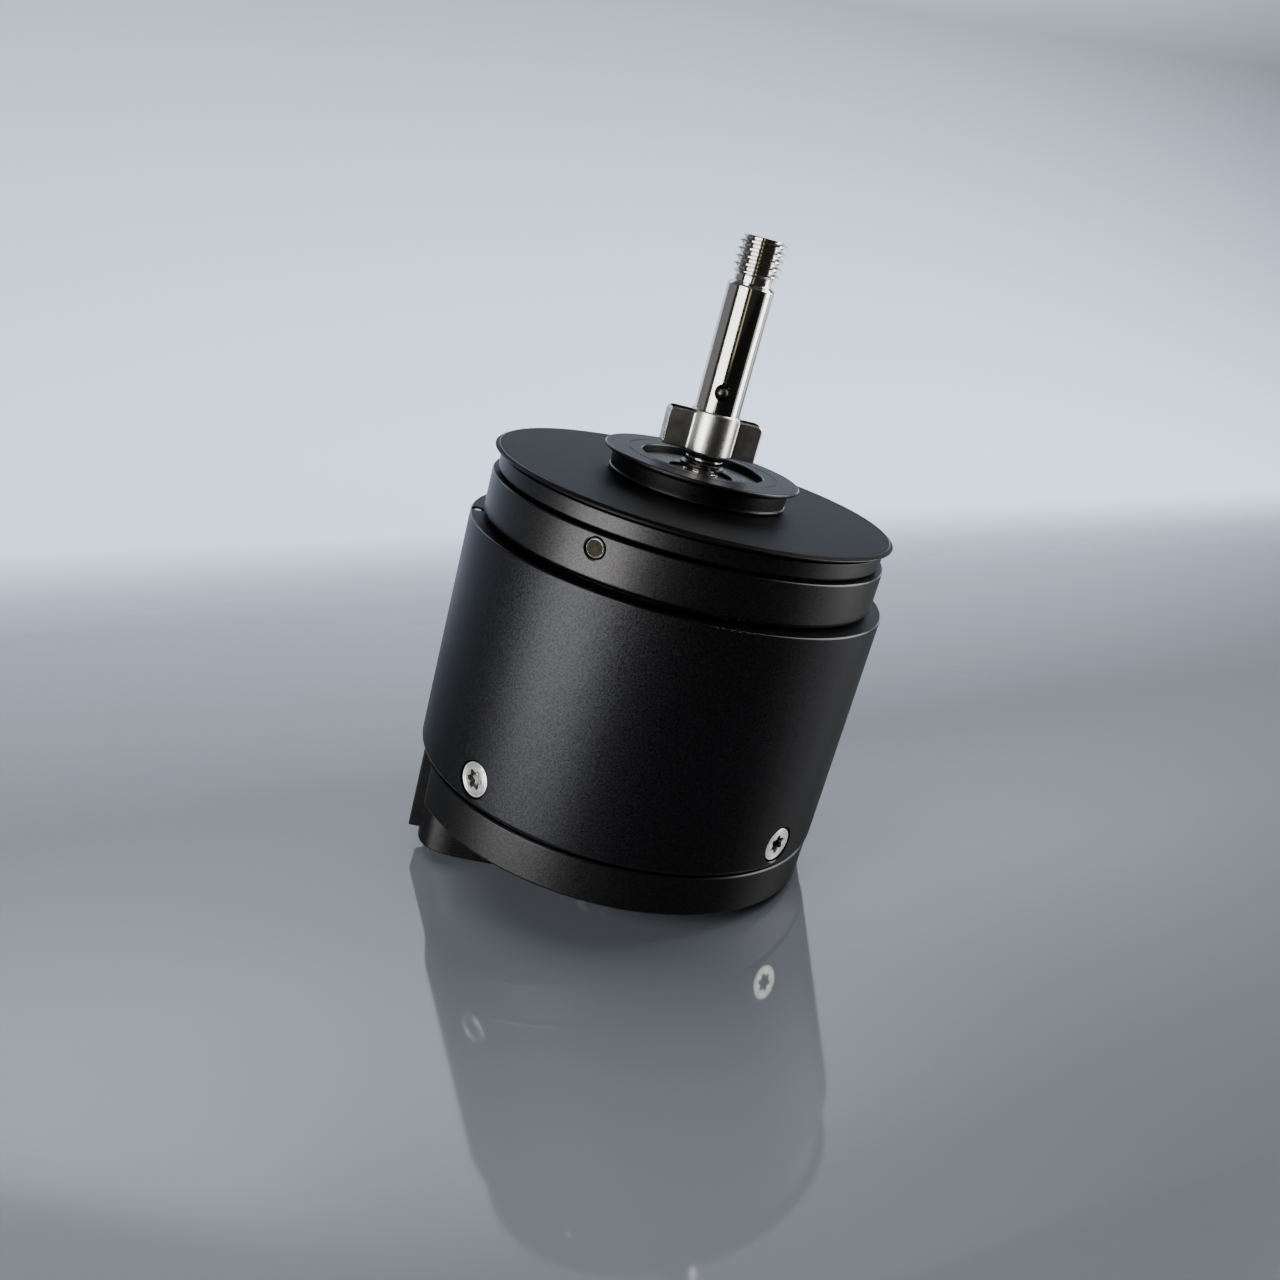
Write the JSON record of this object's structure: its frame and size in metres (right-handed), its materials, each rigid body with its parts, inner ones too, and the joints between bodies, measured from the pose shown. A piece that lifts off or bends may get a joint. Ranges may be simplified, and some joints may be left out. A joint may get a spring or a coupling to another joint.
{
  "type": "planetary gearbox",
  "caption": "Planetary gearbox in a round black housing, with a torque lug beneath and a sealed, threaded steel output shaft with drive dogs and a ball detent on top.",
  "frame": {"origin": "centre of the bounding box in plan, on the plane of the torque lug's foot", "axes": "+Z along the output axis, out through the threaded shaft; the torque lug points to azimuth 188 degrees, near -X; the side with the two visible sleeve screws and the detent ball faces -Y"},
  "size_m": [0.092, 0.092, 0.1448],
  "materials": {
    "black_anodised": "black anodised aluminium, fine matte grain, edges rubbed brighter",
    "polished_steel": "ground and polished steel",
    "bearing_steel": "bright bearing steel",
    "gear_steel": "hobbed, case hardened steel with an oil film",
    "carrier_steel": "turned and ground steel",
    "screw_steel": "bright steel screws and pins",
    "dark_steel": "oil-blackened steel",
    "seal_rubber": "black nitrile rubber",
    "bronze": "sintered bronze bush"
  },
  "bodies": {
    "housing": {"outer_sleeve": "black_anodised", "base_ring": "black_anodised", "sleeve_screw_1": "screw_steel", "sleeve_screw_2": "screw_steel", "sleeve_screw_3": "screw_steel", "sleeve_screw_4": "screw_steel", "rim_lock_pin": "screw_steel", "ring_gear": "gear_steel", "output_housing": "black_anodised", "lock_pin_1": "dark_steel", "lock_pin_2": "dark_steel", "lock_pin_3": "dark_steel", "spacer_ring": "black_anodised", "cover_disc": "black_anodised", "cover_screw_1": "screw_steel", "cover_screw_2": "screw_steel", "cover_screw_3": "screw_steel", "cover_screw_4": "screw_steel", "seal_collar": "black_anodised", "shaft_seal": "seal_rubber", "seal_shield": "carrier_steel", "input_bearing_outer_ring": "bearing_steel", "lower_output_bearing_outer_ring": "bearing_steel", "upper_output_bearing_outer_ring": "bearing_steel"},
    "output": {"output_shaft": "polished_steel", "neck_retaining_ring": "dark_steel", "bearing_spacer": "carrier_steel", "lower_output_bearing_inner_ring": "bearing_steel", "upper_output_bearing_inner_ring": "bearing_steel", "output_carrier": "carrier_steel", "stage_two_retainer": "carrier_steel", "stage_two_planet_pin_1": "dark_steel", "stage_two_planet_pin_2": "dark_steel", "stage_two_planet_pin_3": "dark_steel", "detent_spring": "bearing_steel"},
    "detent_ball": {"detent_ball": "dark_steel"},
    "stage_two_planet_1": {"stage_two_planet_1": "gear_steel", "stage_two_planet_bush_1": "bronze"},
    "stage_two_planet_2": {"stage_two_planet_2": "gear_steel", "stage_two_planet_bush_2": "bronze"},
    "stage_two_planet_3": {"stage_two_planet_3": "gear_steel", "stage_two_planet_bush_3": "bronze"},
    "stage_one_carrier": {"stage_one_carrier": "carrier_steel", "stage_one_retainer": "carrier_steel", "stage_one_planet_pin_1": "dark_steel", "stage_one_planet_pin_2": "dark_steel", "stage_one_planet_pin_3": "dark_steel", "stage_two_sun": "gear_steel"},
    "stage_one_planet_1": {"stage_one_planet_1": "gear_steel", "stage_one_planet_bush_1": "bronze"},
    "stage_one_planet_2": {"stage_one_planet_2": "gear_steel", "stage_one_planet_bush_2": "bronze"},
    "stage_one_planet_3": {"stage_one_planet_3": "gear_steel", "stage_one_planet_bush_3": "bronze"},
    "input_shaft": {"input_shaft": "gear_steel", "input_bearing_inner_ring": "bearing_steel"},
    "input_bearing_cage": {"input_bearing_cage": "bearing_steel"},
    "lower_output_bearing_cage": {"lower_output_bearing_cage": "bearing_steel"},
    "upper_output_bearing_cage": {"upper_output_bearing_cage": "bearing_steel"}
  },
  "joints": [
    {"name": "output_spin", "type": "hinge", "parent": "housing", "child": "output", "pos_m": [0, 0, 0.1], "axis": [0, 0, 1], "continuous": true},
    {"name": "detent_slide", "type": "slide", "parent": "output", "child": "detent_ball", "axis": [0, 1, 0], "range_m": [0, 0.0004], "stiffness_N_per_m": 1000, "springref_m": -0.0005},
    {"name": "stage_two_planet_1_spin", "type": "hinge", "parent": "output", "child": "stage_two_planet_1", "pos_m": [0.02475, 0, 0.0599], "axis": [0, 0, 1], "continuous": true},
    {"name": "stage_two_planet_2_spin", "type": "hinge", "parent": "output", "child": "stage_two_planet_2", "pos_m": [-0.01238, 0.02143, 0.0599], "axis": [0, 0, 1], "continuous": true},
    {"name": "stage_two_planet_3_spin", "type": "hinge", "parent": "output", "child": "stage_two_planet_3", "pos_m": [-0.01238, -0.02143, 0.0599], "axis": [0, 0, 1], "continuous": true},
    {"name": "stage_one_carrier_spin", "type": "hinge", "parent": "housing", "child": "stage_one_carrier", "pos_m": [0, 0, 0.0505], "axis": [0, 0, 1], "continuous": true},
    {"name": "stage_one_planet_1_spin", "type": "hinge", "parent": "stage_one_carrier", "child": "stage_one_planet_1", "pos_m": [0.0225, 0, 0.044], "axis": [0, 0, 1], "continuous": true},
    {"name": "stage_one_planet_2_spin", "type": "hinge", "parent": "stage_one_carrier", "child": "stage_one_planet_2", "pos_m": [-0.01125, 0.01949, 0.044], "axis": [0, 0, 1], "continuous": true},
    {"name": "stage_one_planet_3_spin", "type": "hinge", "parent": "stage_one_carrier", "child": "stage_one_planet_3", "pos_m": [-0.01125, -0.01949, 0.044], "axis": [0, 0, 1], "continuous": true},
    {"name": "input_spin", "type": "hinge", "parent": "housing", "child": "input_shaft", "pos_m": [0, 0, 0.03], "axis": [0, 0, 1], "continuous": true},
    {"name": "input_bearing_cage_spin", "type": "hinge", "parent": "housing", "child": "input_bearing_cage", "pos_m": [0, 0, 0.024], "axis": [0, 0, 1], "continuous": true},
    {"name": "lower_output_bearing_cage_spin", "type": "hinge", "parent": "housing", "child": "lower_output_bearing_cage", "pos_m": [0, 0, 0.0771], "axis": [0, 0, 1], "continuous": true},
    {"name": "upper_output_bearing_cage_spin", "type": "hinge", "parent": "housing", "child": "upper_output_bearing_cage", "pos_m": [0, 0, 0.0872], "axis": [0, 0, 1], "continuous": true}
  ],
  "couplings": [
    {"joint": "stage_two_planet_1_spin", "follows": "output_spin", "ratio": -3.2},
    {"joint": "stage_two_planet_2_spin", "follows": "output_spin", "ratio": -3.2},
    {"joint": "stage_two_planet_3_spin", "follows": "output_spin", "ratio": -3.2},
    {"joint": "stage_one_carrier_spin", "follows": "output_spin", "ratio": 3.6667},
    {"joint": "stage_one_planet_1_spin", "follows": "output_spin", "ratio": -9.7778},
    {"joint": "stage_one_planet_2_spin", "follows": "output_spin", "ratio": -9.7778},
    {"joint": "stage_one_planet_3_spin", "follows": "output_spin", "ratio": -9.7778},
    {"joint": "input_spin", "follows": "output_spin", "ratio": 18.333},
    {"joint": "input_bearing_cage_spin", "follows": "output_spin", "ratio": 7.3153},
    {"joint": "lower_output_bearing_cage_spin", "follows": "output_spin", "ratio": 0.39902},
    {"joint": "upper_output_bearing_cage_spin", "follows": "output_spin", "ratio": 0.39902}
  ]
}
